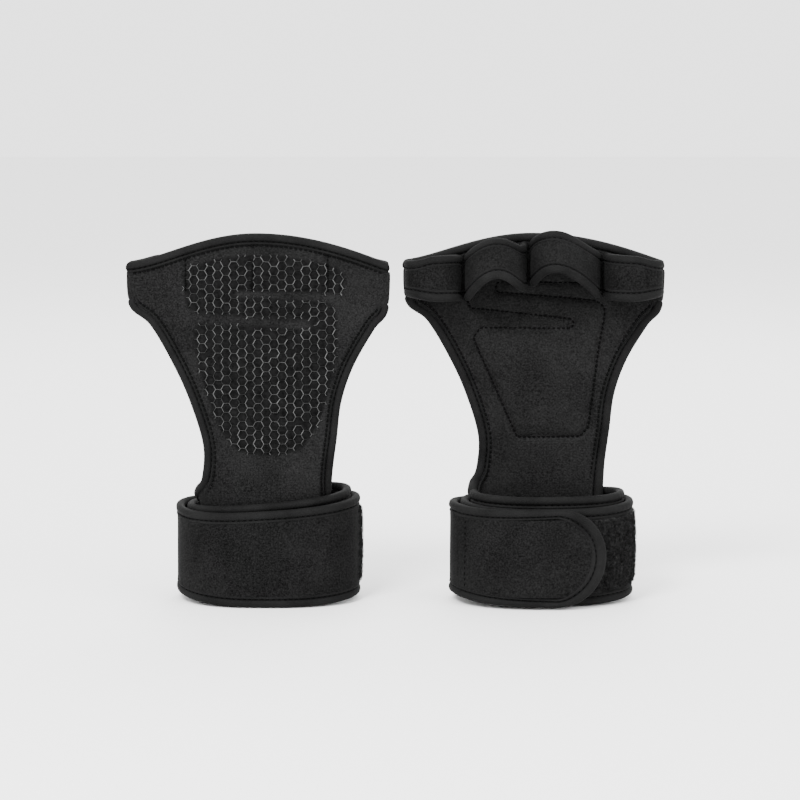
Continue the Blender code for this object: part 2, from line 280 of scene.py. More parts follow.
def make_camera():
    """A long lens in front of the grips, a little above them."""
    data = bpy.data.cameras.new("camera")
    data.lens = LENS
    data.sensor_width = SENSOR
    distance = VIEW_WIDTH * LENS / SENSOR
    tilt = math.radians(VIEW_ELEVATION)
    back = Vector((0, -math.cos(tilt), math.sin(tilt)))
    place = Vector(VIEW_CENTRE) + back * distance
    bpy.context.scene.camera = place_looking("camera", data, place, -back)


def make_room():
    """A pale floor that runs into a pale background, and soft studio light."""
    world = bpy.data.worlds.new("studio")
    world.use_nodes = True
    background = world.node_tree.nodes["Background"]
    background.inputs["Color"].default_value = (1, 1, 1, 1)
    background.inputs["Strength"].default_value = WORLD_STRENGTH
    bpy.context.scene.world = world
    for name, place, aim, size, power in LIGHTS:
        data = bpy.data.lights.new(name, "AREA")
        data.size = size
        data.energy = power
        place_looking(name, data, place, Vector(aim) - Vector(place))
    bpy.ops.mesh.primitive_plane_add(size=FLOOR_SIZE, location=(0, 0, -FLOOR_DROP))
    floor = bpy.context.object
    floor.name = "floor"
    look = bpy.data.materials.new("floor")
    look.use_nodes = True
    shader = look.node_tree.nodes["Principled BSDF"]
    shader.inputs["Base Color"].default_value = (FLOOR_GREY, FLOOR_GREY, FLOOR_GREY, 1)
    shader.inputs["Roughness"].default_value = 0.9
    floor.data.materials.append(look)


# ---- materials ----

class Look:
    """Builds one node material; each method returns an output socket."""

    def __init__(self, name, roughness, specular, sheen=0, sheen_roughness=0.5):
        self.material = bpy.data.materials.new(name)
        self.material.use_nodes = True
        self.tree = self.material.node_tree
        self.shader = self.tree.nodes["Principled BSDF"]
        for key, value in (("Roughness", roughness), ("Specular IOR Level", specular),
                           ("Sheen Weight", sheen), ("Sheen Roughness", sheen_roughness)):
            self.shader.inputs[key].default_value = value
        self.place = self.tree.nodes.new("ShaderNodeTexCoord").outputs["Object"]

    def node(self, kind, inputs, **settings):
        """A new node, its settings made and its inputs set or linked."""
        made = self.tree.nodes.new(kind)
        for key, value in settings.items():
            setattr(made, key, value)
        for key, value in inputs.items():
            if isinstance(value, bpy.types.NodeSocket):
                self.tree.links.new(value, made.inputs[key])
            else:
                made.inputs[key].default_value = value
        return made

    def attribute(self, name):
        """A value stored on the mesh's points."""
        return self.node("ShaderNodeAttribute", {}, attribute_name=name).outputs["Fac"]

    def noise(self, size, detail=3, roughness=0.5):
        """Noise whose lumps are about size millimetres across."""
        return self.node("ShaderNodeTexNoise", {
            "Vector": self.place, "Scale": 1 / (size * MM), "Detail": detail,
            "Roughness": roughness}).outputs["Fac"]

    def wave(self, direction, period, distortion=0.6):
        """Parallel ridges period millimetres apart."""
        scale = math.tau / (period * MM) / 20
        return self.node("ShaderNodeTexWave", {
            "Vector": self.place, "Scale": scale, "Distortion": distortion,
            "Detail": 1, "Detail Scale": 2}, bands_direction=direction).outputs["Fac"]

    def math(self, operation, a, b):
        """Add, multiply or otherwise join two values."""
        return self.node("ShaderNodeMath", {0: a, 1: b}, operation=operation).outputs[0]

    def weigh(self, a, weight_a, b, weight_b):
        """The sum of two values, each with its weight."""
        return self.math("ADD", self.math("MULTIPLY", a, weight_a),
                         self.math("MULTIPLY", b, weight_b))

    def span(self, value, low, high):
        """Map a 0-1 value to low-high."""
        return self.node("ShaderNodeMapRange", {
            "Value": value, "From Min": 0, "From Max": 1, "To Min": low,
            "To Max": high}).outputs["Result"]

    def greys(self, share, dark, light, dark_to=0.3, light_from=0.7):
        """A ramp between two greys."""
        ramp = self.node("ShaderNodeValToRGB", {"Fac": share})
        stops = zip(ramp.color_ramp.elements, (dark_to, light_from), (dark, light))
        for stop, position, grey in stops:
            stop.position = position
            stop.color = (grey, grey, grey, 1)
        return ramp.outputs["Color"]

    def mix(self, share, a, b):
        """Colour a where the share is 0 and b where it is 1."""
        inputs = {"Factor": share, "A": a, "B": b}
        return self.node("ShaderNodeMix", inputs, data_type="RGBA").outputs["Result"]

    def finish(self, colour, height, bump, depth, rough=None):
        """Join the colour, the bump and the roughness to the shader."""
        self.tree.links.new(colour, self.shader.inputs["Base Color"])
        normal = self.node("ShaderNodeBump", {
            "Strength": bump, "Distance": depth * MM, "Height": height}).outputs["Normal"]
        self.tree.links.new(normal, self.shader.inputs["Normal"])
        if rough is not None:
            self.tree.links.new(rough, self.shader.inputs["Roughness"])
        return self.material


def neoprene_look(name, dark, light, film=False):
    """Jersey-faced neoprene: matt, speckled, with soft cloudy wear."""
    look = Look(name, 0.86, sheen=0.012, sheen_roughness=0.4, specular=0.03)
    speckle = look.noise(0.75, 5, 0.8)
    cloud = look.noise(22, 3, 0.55)
    share = look.weigh(speckle, 0.85, cloud, 0.2)
    colour = look.greys(share, dark, light, 0.42, 0.68)
    loops = look.math("MULTIPLY", look.wave("Z", 0.75), look.wave("X", 0.75 * 0.8))
    height = look.weigh(loops, 1, look.noise(0.75 * 0.9, 4, 0.7), 0.8)
    if film:
        mask = look.attribute("film")
        coat = look.greys(look.noise(2, 4, 0.7), 0.0010, 0.0060)
        colour = look.mix(mask, colour, coat)
    rough = look.span(cloud, 0.78, 0.93)
    return look.finish(colour, height, 0.55, 0.16, rough)


def binding_look():
    """Folded elastic binding: finer, smoother and a little darker than the neoprene."""
    look = Look("binding", 0.75, sheen=0.008, sheen_roughness=0.4, specular=0.04)
    speckle = look.noise(0.4, 4, 0.7)
    cloud = look.noise(14, 2, 0.5)
    share = look.weigh(speckle, 0.6, cloud, 0.4)
    colour = look.greys(share, 0.0010, 0.0100)
    height = look.math("ADD", look.wave("DIAGONAL", 0.5), look.noise(0.5, 4, 0.7))
    return look.finish(colour, height, 0.4, 0.10, look.span(cloud, 0.66, 0.86))


def silicone_look():
    """Printed silicone: a half-gloss dark grey, paler on some lines, from random wear and a
    painted highlight on the standing lines.
    """
    look = Look("silicone", 0.42, specular=0.15)
    patches = look.noise(9, 3, 0.6)
    grain = look.noise(1.2, 3, 0.6)
    # Each line's paleness: random wear, and a painted highlight on standing lines.
    wear_and_glint = look.attribute("wear_and_glint")
    share = look.math("MULTIPLY", wear_and_glint, look.weigh(patches, 1.1, grain, 0.5))
    colour = look.greys(share, 0.003, 0.075, 0.14, 1)
    return look.finish(colour, grain, 0.3, 0.06, look.span(patches, 0.30, 0.5))


def thread_and_groove_shade_look():
    """Waxed black sewing thread, its greys darker than the cloth's as painted shade in the grooves
    it lies in.
    """
    look = Look("thread", 0.7, specular=0.04)
    twist = look.wave("DIAGONAL", 0.35, 0.2)
    # Near-black greys: black thread, darkened further as painted shade for the grooves.
    colour = look.greys(look.noise(1.5), 0.0004, 0.0012)
    return look.finish(colour, twist, 0.4, 0.05)


def pile_look():
    """Looped pile: deep black with greyer tips."""
    look = Look("loop_pile", 0.95, sheen=0.012, sheen_roughness=0.6, specular=0.03)
    lumps = look.noise(1.5, 6, 0.8)
    colour = look.greys(lumps, 0.0008, 0.026, 0.42, 0.66)
    return look.finish(colour, lumps, 1, 0.8)


def hook_look():
    """Moulded nylon hook tape."""
    look = Look("hook", 0.5, specular=0.1)
    grain = look.noise(0.9, 3, 0.6)
    colour = look.greys(grain, 0.0008, 0.0120, 0.4, 0.64)
    return look.finish(colour, grain, 0.7, 0.2, look.span(grain, 0.45, 0.7))


# ---- curves and surfaces ----

def smooth_step(x):
    """0 below 0, 1 above 1 and a smooth rise between."""
    x = np.clip(x, 0, 1)
    return x * x * (3 - 2 * x)


def unit(vectors):
    """The same directions, one long."""
    return vectors / np.maximum(np.linalg.norm(vectors, axis=-1, keepdims=True), 1e-12)


def tangents(path):
    """The direction of a path at each of its points."""
    return unit(np.gradient(path, axis=0))


def lengths_along(path):
    """Distance along a path at each of its points."""
    return np.concatenate([[0], np.cumsum(np.linalg.norm(np.diff(path, axis=0), axis=1))])


def between(at, along, rows):
    """The rows of a table, read at places between them."""
    return np.stack([np.interp(at, along, column) for column in np.transpose(rows)], -1)


def through(points, share):
    """Points on the smooth curve through the points, share from 0 to 1."""
    points = np.asarray(points, float)
    place = np.clip(share, 0, 1) * (len(points) - 1)
    i = np.minimum(place.astype(int), len(points) - 2)
    t = (place - i)[..., None]
    p0, p1 = points[np.maximum(i - 1, 0)], points[i]
    p2, p3 = points[i + 1], points[np.minimum(i + 2, len(points) - 1)]
    a, b = (p2 - p0) / 2, (p3 - p1) / 2
    return (((2 * (p1 - p2) + a + b) * t + 3 * (p2 - p1) - 2 * a - b) * t + a) * t + p1


def resample(path, spacing=None, count=None):
    """The same path with evenly spaced points."""
    along = lengths_along(path)
    count = count or max(int(round(along[-1] / spacing)) + 1, 2)
    return between(np.linspace(0, along[-1], count), along, path)


def at_height(flat, z):
    """Flat points or directions with a height added."""
    return np.concatenate([flat, np.broadcast_to(z, flat.shape[:-1])[..., None]], -1)


def grid_quads(index):
    """The quads of a grid of point numbers."""
    corners = index[:-1, :-1], index[1:, :-1], index[1:, 1:], index[:-1, 1:]
    return np.stack(corners, -1).reshape(-1, 4)


def strap_radius(turn):
    """How far the winding has grown outward at an angle in degrees."""
    return PITCH * turn / 360 + TAIL_LIFT * smooth_step((turn - TAIL_LIFT_FROM) / TAIL_LIFT_OVER)


def ring(turn, lift):
    """(x, y) on the winding at an angle in degrees, and its outward direction."""
    turn = np.asarray(turn, float)
    angle = np.radians(180 - turn)
    c, s = np.cos(angle), np.sin(angle)
    power = 2 / ROUNDNESS
    out = unit(np.stack([np.sign(c) * np.abs(c) ** (2 - power) / RING_A,
                         np.sign(s) * np.abs(s) ** (2 - power) / RING_B], -1))
    core = np.stack([np.sign(c) * RING_A * np.abs(c) ** power + RING_X,
                     np.sign(s) * RING_B * np.abs(s) ** power], -1)
    return core + out * (strap_radius(turn) + lift)[..., None], out


# The foot runs into the strap's start: it is the half turn of the winding before it.
FOOT_TURNS = np.linspace(-180, 16, 393)
FOOT_MIDDLE = -90
FOOT_PATH = ring(FOOT_TURNS, FOOT_LIFT)[0]
FOOT_ALONG = lengths_along(FOOT_PATH)
# s falls as the winding turns on from +x to -x, and is RING_X in the middle of the palm side.
FOOT_S = RING_X - (FOOT_ALONG - np.interp(FOOT_MIDDLE, FOOT_TURNS, FOOT_ALONG))

# The tail's layout: its angle on the winding against the distance along it.
TAIL_TURNS = np.linspace(TAIL_FROM, TAIL_TIP, 200)
TAIL_ALONG = lengths_along(ring(TAIL_TURNS, 0)[0])
TAIL_LENGTH = TAIL_ALONG[-1]


def panel_middle(s, z):
    """The panel's middle surface: inside the strap low down, a gentle bow higher up."""
    s, z = np.broadcast_arrays(s, z)
    foot = between(s, FOOT_S[::-1], FOOT_PATH[::-1])
    up = np.maximum(z - FOLD_Z, 0) / CURL_HEIGHT
    free = smooth_step((z - FOOT_Z) / (FREE_Z - FOOT_Z))
    x = foot[..., 0] + (s - foot[..., 0]) * free
    y = foot[..., 1] + (PANEL_Y + BOW * s * s + CURL * up * up - foot[..., 1]) * free
    return np.stack([x, y, z], -1)


def panel_normal(s, z):
    """The direction out of the panel on its gripping side."""
    step = 0.4
    across = panel_middle(s + step, z) - panel_middle(s - step, z)
    up = panel_middle(s, z + step) - panel_middle(s, z - step)
    return unit(np.cross(across, up))


def closed_outline(points, rounds):
    """A closed outline as a fine polygon, its corners eased by a number of rounds."""
    fine = resample(np.array(points + points[:1]), spacing=1)[:-1]
    for _ in range(rounds):
        fine = (np.roll(fine, 1, 0) + 2 * fine + np.roll(fine, -1, 0)) / 4
    return fine


PAD_OUTLINE = closed_outline(PAD_LINE, 3)
HAND_OUTLINE = closed_outline(HAND_LINE, 1)


def depth_in(outline, s, z):
    """How far inside an outline each point lies; negative outside."""
    s, z = np.broadcast_arrays(s, z)
    p = np.stack([np.ravel(s), np.ravel(z)], -1)
    inside = np.zeros(len(p), bool)
    nearest = np.full(len(p), np.inf)
    for start, end in zip(outline, np.roll(outline, -1, 0)):
        edge = end - start
        t = np.clip(((p - start) @ edge) / (edge @ edge), 0, 1)
        nearest = np.minimum(nearest, np.hypot(*(p - start - t[:, None] * edge).T))
        crosses = (start[1] > p[:, 1]) != (end[1] > p[:, 1])
        run = (end[0] - start[0]) * (p[:, 1] - start[1]) / (end[1] - start[1] or 1e-9) + start[0]
        inside ^= crosses & (p[:, 0] < run)
    return np.where(inside, nearest, -nearest).reshape(s.shape)


# ---- the pad's cover, simulated ----

def simulate_pillow(depth):
    """Lay the pad's cover out flat, sewn down round the pad, and let it puff up between."""
    s, z = np.meshgrid(PILLOW_S, PILLOW_Z, indexing="ij")
    flat = np.stack([s, z, np.zeros_like(s)], -1).reshape(-1, 3) * PILLOW_SCALE
    quads = grid_quads(np.arange(s.size).reshape(s.shape))
    mesh = bpy.data.meshes.new("pad_cover")
    mesh.from_pydata(flat.tolist(), [], quads.tolist())
    cover = new_object("pad_cover", mesh)
    sewn = cover.vertex_groups.new(name="sewn")
    sewn.add(np.flatnonzero(depth.ravel() < PILLOW_SEWN).tolist(), 1, "REPLACE")
    cloth = cover.modifiers.new("cloth", "CLOTH")
    for key, value in PILLOW_CLOTH.items():
        setattr(cloth.settings, key, value)
    cloth.settings.vertex_group_mass = "sewn"
    cloth.settings.effector_weights.gravity = -1
    cloth.point_cache.frame_start = 1
    cloth.point_cache.frame_end = PILLOW_FRAMES
    for number in range(1, PILLOW_FRAMES + 1):
        bpy.context.scene.frame_set(number)
    done = cover.evaluated_get(bpy.context.evaluated_depsgraph_get()).to_mesh()
    lift = np.array([v.co.z for v in done.vertices]) / PILLOW_SCALE
    bpy.data.objects.remove(cover)
    bpy.context.scene.frame_set(1)
    lift = np.clip(lift.reshape(s.shape), 0, None)
    crown = max(np.percentile(lift[depth > 2], 80), 0.05)
    puff = np.clip(lift / crown, 0, 1.5)
    return smooth_step(depth / 3) * (1 - PILLOW_PUFF + PILLOW_PUFF * puff)


def make_pillow():
    depth = depth_in(PAD_OUTLINE, PILLOW_S[:, None], PILLOW_Z)
    return simulate_pillow(depth)


PILLOW = make_pillow()


def pillow(s, z):
    """The cover's lift at points of the panel, from 0 to about 1."""
    i = np.clip((s - PILLOW_S[0]) / (PILLOW_S[1] - PILLOW_S[0]), 0, len(PILLOW_S) - 1.001)
    j = np.clip((z - PILLOW_Z[0]) / (PILLOW_Z[1] - PILLOW_Z[0]), 0, len(PILLOW_Z) - 1.001)
    i0, j0 = i.astype(int), j.astype(int)
    u, v = i - i0, j - j0
    return ((PILLOW[i0, j0] * (1 - u) + PILLOW[i0 + 1, j0] * u) * (1 - v)
            + (PILLOW[i0, j0 + 1] * (1 - u) + PILLOW[i0 + 1, j0 + 1] * u) * v)


def ripple(a, b, length, height, seed):
    """Smooth, irregular waves over two coordinates in millimetres."""
    phases = np.random.default_rng(seed).uniform(0, math.tau, 6)
    wave = np.zeros(np.broadcast(a, b).shape)
    for k, phase in enumerate(phases):
        turn = 0.9 * k + phase
        wave = wave + np.sin((np.cos(turn) * a + np.sin(turn) * b) * math.tau
                             / (length * (0.7 + 0.2 * k)) + phase)
    return wave * height / len(phases)


def tail_outline(margin):
    """The tail's U-shaped edge as (s, height), margin in from it, from seam to tip and back."""
    straight = np.linspace(0, TAIL_LENGTH - TAIL_ROUND, 40)
    turn = np.linspace(math.pi / 2, -math.pi / 2, 60)[1:-1]
    tip = TAIL_LENGTH - TAIL_ROUND + (TAIL_ROUND - margin) * np.cos(turn)
    up = np.concatenate([np.ones(40), np.sin(turn), -np.ones(40)])
    s = np.concatenate([straight, tip, straight[::-1]])
    return np.stack([s, up * (STRAP_WIDTH / 2 - margin)], 1)


def tail_wave(s, height):
    """How the tail's two faces wander together."""
    return ripple(s, height, *TAIL_RIPPLE)


def palm_face(s, z, lift=0):
    """A point on the gripping side of the panel, lift millimetres proud of it."""
    out = SHEET_HALF + PAD_RISE * pillow(s, z) + lift + ripple(s, z, *PALM_RIPPLE)
    sewn_rows = smooth_step((z - FINGER_FOOT_Z - 5) / 3)
    for seam in SEAMS[1:-1]:
        out = out - SEAM_DEPTH * np.exp(-((s - seam) / SEAM_WIDTH) ** 2) * sewn_rows
    return panel_middle(s, z) + panel_normal(s, z) * out[..., None]


def hand_face(s, z, lift=0):
    """A point on the hand's side of the panel, with the sewn line round the pad pressed in."""
    depth = depth_in(HAND_OUTLINE, s, z)
    sewn = np.exp(-(depth / SEAM_WIDTH) ** 2)
    out = SHEET_HALF + PAD_BACK_RISE * smooth_step(depth / 4) - SEAM_DEPTH * sewn + lift
    out = out + ripple(s, z, *HAND_RIPPLE)
    return panel_middle(s, z) - panel_normal(s, z) * out[..., None]


def patch_lift(turn, height):
    """The pile's face, thickest in the middle of the patch and thin along its edges."""
    up = (height - PATCH_MARGIN) / (STRAP_WIDTH - 2 * PATCH_MARGIN)
    along = (turn - PATCH_TURNS[0]) / (PATCH_TURNS[1] - PATCH_TURNS[0])
    inside = np.minimum(4 * up * (1 - up), 12 * along * (1 - along))
    return PATCH_EDGE_LIFT + PATCH_BULGE * np.sqrt(np.clip(inside, 0, 1))


def hexagon_lines():
    """The corners of a field of hexagons by their rounded place, and the lines between."""
    corners, lines = {}, set()
    column_step, row_step = 1.5 * HEX_SIDE, math.sqrt(3) * HEX_SIDE
    for i in HEX_COLUMNS:
        for j in HEX_ROWS:
            middle_s, middle_z = i * column_step, (j + 0.5 * (i % 2)) * row_step
            keys = []
            for k in range(6):
                angle = math.pi / 3 * k
                corner = (middle_s + HEX_SIDE * math.cos(angle),
                          middle_z + HEX_SIDE * math.sin(angle))
                keys.append((round(corner[0], 2), round(corner[1], 2)))
                corners[keys[-1]] = corner
            for a, b in zip(keys, keys[1:] + keys[:1]):
                lines.add((min(a, b), max(a, b)))
    return corners, sorted(lines)


# ---- mesh building ----

class Pile:
    """Points and faces of one piece, gathered from several shapes."""

    def __init__(self):
        self.points = []
        self.faces = []
        self.count = 0

    def add(self, points, faces):
        """Add one shape, its faces numbered from its own first point."""
        points = np.asarray(points, float).reshape(-1, 3)
        self.points.append(points)
        self.faces += [[i + self.count for i in face] for face in faces]
        self.count += len(points)

    def sweep(self, path, inward, normal, section):
        """A closed section carried along a path; section is (in, out) for all or each station."""
        section = np.asarray(section, float)
        if section.ndim == 2:
            section = np.broadcast_to(section, (len(path),) + section.shape)
        points = (path[:, None] + inward[:, None] * section[..., :1]
                  + normal[:, None] * section[..., 1:])
        index = np.arange(points.shape[0] * points.shape[1]).reshape(points.shape[:2])
        ahead = np.roll(index, -1, 1)
        quads = np.stack([index[:-1], ahead[:-1], ahead[1:], index[1:]], -1).reshape(-1, 4)
        self.add(points, quads.tolist() + [index[0][::-1].tolist(), index[-1].tolist()])

    def slab(self, front, back, rim=0.8):
        """Two facing grids closed round their edges by a rounded rim."""
        base = front.shape[0] * front.shape[1]
        index = np.arange(base).reshape(front.shape[:2])
        quads = grid_quads(index)
        loop = np.concatenate([index[:-1, 0], index[-1, :-1], index[:0:-1, -1], index[0, :0:-1]])
        front, back = front.reshape(-1, 3), back.reshape(-1, 3)
        middle = (front[loop] + back[loop]) / 2
        along = np.roll(middle, -1, 0) - np.roll(middle, 1, 0)
        out = unit(np.cross(front[loop] - back[loop], along))
        if ((middle - middle.mean(0)) * out).sum() < 0:
            out = -out
        rim_index = np.arange(len(loop)) + 2 * base
        faces = quads.tolist() + (quads[:, ::-1] + base).tolist()
        for first, second in ((loop, rim_index), (rim_index, loop + base)):
            strip = first, second, np.roll(second, -1), np.roll(first, -1)
            faces += np.stack(strip, -1)[:, ::-1].tolist()
        self.add(np.concatenate([front, back, middle + out * rim]), faces)

    def stitches(self, path, normal, kind=GROOVE_STITCH):
        """Separate thread stitches along a path, each a small bowed bar."""
        pitch, length, radius = kind
        both = resample(np.concatenate([path, normal], 1), spacing=0.35)
        line, out = both[:, :3], unit(both[:, 3:])
        along = lengths_along(line)
        turn = np.linspace(0, math.tau, 6)[:-1]
        circle = np.stack([np.cos(turn), np.sin(turn)], -1)
        for start in np.arange(0.3, along[-1] - length, pitch):
            at = start + length * STITCH_SHARES
            centre = between(at, along, line)
            up = unit(between(at, along, out))
            side = unit(np.cross(tangents(centre), up))
            lift = radius * STITCH_RISES
            width = radius * STITCH_WIDTHS
            self.sweep(centre + up * lift[:, None], side, up, circle * width[:, None, None])


def binding_sections(half, wide, thick):
    """A binding's closed section at each station; wide and thick scale it in and out."""
    upper = [(a, b * half) for a, b in BINDING_SECTION]
    section = np.array(upper + [(a, -b) for a, b in upper[:0:-1]])
    return section * np.stack(np.broadcast_arrays(wide, thick), 1)[:, None]


def pucker(along, depth):
    """How the thread pulls a binding in, once for each stitch."""
    return 1 + depth * np.sin(along * math.tau / STITCH_PITCH)


def rounded_ends(section, left_over):
    """Sections that shrink to their middle where little of the binding is left over."""
    share = np.sqrt(1 - (1 - np.clip(left_over / END_ROUND, 0.03, 1)) ** 2)[:, None, None]
    middle = np.array([BINDING_SECTION[-1][0] / 2, 0])
    return middle + (section - middle) * share


def groove_line(edge, inward, normal, half, wide=1):
    """Where the stitches lie in the groove of a binding along an edge."""
    return edge + inward * wide * GROOVE_IN + normal * half * GROOVE_SHARE


def band_section(half, rows, puff=0.12):
    """The section of a strap's fabric, one unit up and down from its middle, as (up, out)."""
    up = np.linspace(-1, 1, rows)
    out = half * (0.9 + puff * (1 - up ** 2))
    return np.concatenate([np.stack([up, out], 1), np.stack([up, -out], 1)[::-1]])


# ---- the grips ----

class Grip:
    """One grip: its place in the frame and the pieces made for it."""

    def __init__(self, side, looks):
        fold = JOINTS[f"{side}_wrist_fold"]
        self.side = side
        self.facing = float(fold["axis"][0])
        self.centre = fold["pos_m"][0] / MM - RING_X
        self.fold = Vector(fold["pos_m"])
        self.seam = Vector(JOINTS[f"{side}_tail_peel"]["pos_m"])
        self.looks = looks

    def node(self, name):
        """The full name of this grip's solid or body."""
        return f"{self.side}_{name}"

    def make(self, name, pile, look, replaced=(), smooth=True):
        """Turn gathered shapes into an object in the frame, in place of the CAD's solids."""
        points = np.concatenate(pile.points)
        points = (points * (1, self.facing, 1) + (self.centre, 0, 0)) * MM
        faces = pile.faces if self.facing > 0 else [face[::-1] for face in pile.faces]
        mesh = bpy.data.meshes.new(self.node(f"{name}_visual"))
        mesh.from_pydata(points.tolist(), [], faces)
        mesh.materials.append(self.looks[look])
        thing = new_object(mesh.name, mesh)
        if smooth:
            mesh.shade_smooth()
            mesh.set_sharp_from_angle(angle=math.radians(SHARP_ANGLE))
        if replaced:
            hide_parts(*[self.node(node) for node in replaced])
        return thing

    def bend_at_wrist(self, piece):
        """Bake the piece's placing into its points; it is tied to neither the strap nor the palm.
        """
        self.node("palm")
        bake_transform(piece)

    def bend_at_seam(self, piece):
        """Bake the piece's placing into its points; it is tied to neither the strap nor the tail.
        """
        self.node("tail")
        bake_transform(piece)

    # ---- palm panel ----

    def dome(self, across, up):
        """How far a panel row curves up, across running from -1 to 1."""
        power = np.where(across < 0, LEFT_DOME, RIGHT_DOME)
        crown = np.maximum(1 - across * across, 0) ** power
        rise = smooth_step((up - DOME_START) / (1 - DOME_START))
        return DOME_RISES[self.side] * crown * rise

    def build_panel(self):
        """The panel's two sheets with the pad between them, held inside the bindings."""
        up = np.linspace(0, 1, PANEL_ROWS)
        across = np.linspace(0, 1, PANEL_COLUMNS)[:, None]
        left, right = through(LEFT_LINE, up), through(RIGHT_LINE, up)
        tuck = TUCK + (EAR_TUCK - TUCK) * smooth_step((up - EAR) / EAR_LAP)
        s = (left[:, 0] + tuck) + (right[:, 0] - left[:, 0] - 2 * tuck) * across
        z = left[:, 1] + (right[:, 1] - left[:, 1]) * across
        z = z + self.dome(2 * across - 1, up) - TUCK * smooth_step((up - TOP_TUCK_FROM) / 0.07)
        pile = Pile()
        pile.slab(palm_face(s, z), hand_face(s, z))
        panel = self.make("palm_panel", pile, "panel",
                          ["palm_layer", "palm_lining", "foam_pad", "panel_foot"])
        film = smooth_step(depth_in(PAD_OUTLINE, s, z) / 0.8).ravel()
        values = np.zeros(len(panel.data.vertices), np.float32)
        values[:film.size] = film
        panel.data.attributes.new("film", "FLOAT", "POINT").data.foreach_set("value", values)
        self.bend_at_wrist(panel)

    def bound_edge(self, name, flat, half, free_start):
        """A binding and its two rows of stitches, along a (s, z) edge of the panel."""
        flat = resample(flat, spacing=EDGE_STEP)
        middle, normal = panel_middle(*flat.T), panel_normal(*flat.T)
        inward = unit(np.cross(tangents(middle), normal))
        inward *= np.sign((inward * (panel_middle(*PANEL_CENTRE) - middle)).sum())
        along = np.arange(len(flat)) * EDGE_STEP
        left_over = along[-1] - along
        if free_start:
            left_over = np.minimum(left_over, along)
        section = rounded_ends(binding_sections(half, 1, pucker(along, 0.035)), left_over)
        pile, thread = Pile(), Pile()
        pile.sweep(middle, inward, normal, section)
        # The stitches stop short of both ends.
        middle, inward, normal = middle[3:-3], inward[3:-3], normal[3:-3]
        for out in (normal, -normal):
            thread.stitches(groove_line(middle, inward, out, half), out)
            thread.stitches(middle + inward * LIP_IN + out * LIP_OUT, out, LIP_STITCH)
        return (self.make(name, pile, "binding", [name]),
                self.make(f"{name}_thread", thread, "thread"))

    def build_bindings(self):
        """The two side bindings, their placing baked in; the top one stays with the palm."""
        for name, line, start in (("side_binding_a", LEFT_LINE, LEFT_BOUND),
                                  ("side_binding_b", RIGHT_LINE, RIGHT_BOUND)):
            edge = through(line, np.linspace(start, EAR + EAR_LAP, 160))
            for piece in self.bound_edge(name, edge, SIDE_BINDING_HALF, False):
                self.bend_at_wrist(piece)
        across = np.linspace(0, 1, 120)
        left, right = np.array(LEFT_LINE[-1]), np.array(RIGHT_LINE[-1])
        top = left + (right - left) * across[:, None]
        top[:, 1] += self.dome(2 * across - 1, 1)
        for piece in self.bound_edge("top_binding", top, TOP_BINDING_HALF, True):
            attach(piece, self.node("palm"))

    def build_print(self):
        """Raised hexagon outlines over the pad, some of them worn away."""
        corners, lines = hexagon_lines()
        keys = sorted(corners)
        place = np.array([corners[key] for key in keys])
        inside = dict(zip(keys, depth_in(PAD_OUTLINE, *place.T) > HEX_MARGIN))
        wander = dict(zip(keys, rng.normal(0, HEX_WANDER, (len(keys), 2))))
        pile = Pile()
        wear_and_glints = []
        for a, b in lines:
            if not (inside[a] or inside[b]) or rng.random() < HEX_LOST:
                continue
            start, end = np.array(corners[a]) + wander[a], np.array(corners[b]) + wander[b]
            middle = (start + end) / 2
            start = start if inside[a] else middle
            end = end if inside[b] else middle
            flat = start + (end - start) * HEX_SHARES[:, None]
            path, normal = palm_face(*flat.T, 0.05), panel_normal(*flat.T)
            side = unit(np.cross(tangents(path), normal))
            worn = rng.uniform(*HEX_WEAR)
            lying = abs(end[1] - start[1]) < 0.3 * abs(end[0] - start[0])
            # Standing lines get paler greys than lying ones: a painted highlight, on top of random
            # wear.
            wear_and_glint = rng.uniform(*(WEAR_AND_GLINT_LYING if lying else WEAR_AND_GLINT_STANDING))
            pile.sweep(path, side, normal, HEX_PROFILE * (HEX_WIDTH * worn, HEX_HEIGHT * worn))
            wear_and_glints += [wear_and_glint] * (len(path) * len(HEX_PROFILE))
        piece = self.make("silicone_print", pile, "silicone", ["silicone_print"])
        piece.data.attributes.new("wear_and_glint", "FLOAT", "POINT").data.foreach_set("value", wear_and_glints)
        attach(piece, self.node("palm"))

    def build_panel_thread(self):
        """Stitches round the pad on the hand's side, and down the loops' seams."""
        pile = Pile()
        s, z = np.concatenate([HAND_OUTLINE, HAND_OUTLINE[:1]]).T
        pile.stitches(hand_face(s, z, HAND_THREAD_LIFT), -panel_normal(s, z), HAND_STITCH)
        z = np.linspace(FINGER_FOOT_Z + 6, FINGER_FOOT_Z + FINGER_WIDTH, 20)
        for s in SEAMS[1:-1]:
            pile.stitches(palm_face(s, z, SEAM_THREAD_LIFT), panel_normal(s, z), SEAM_STITCH)
        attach(self.make("panel_thread", pile, "thread"), self.node("palm"))

    # ---- finger strap ----

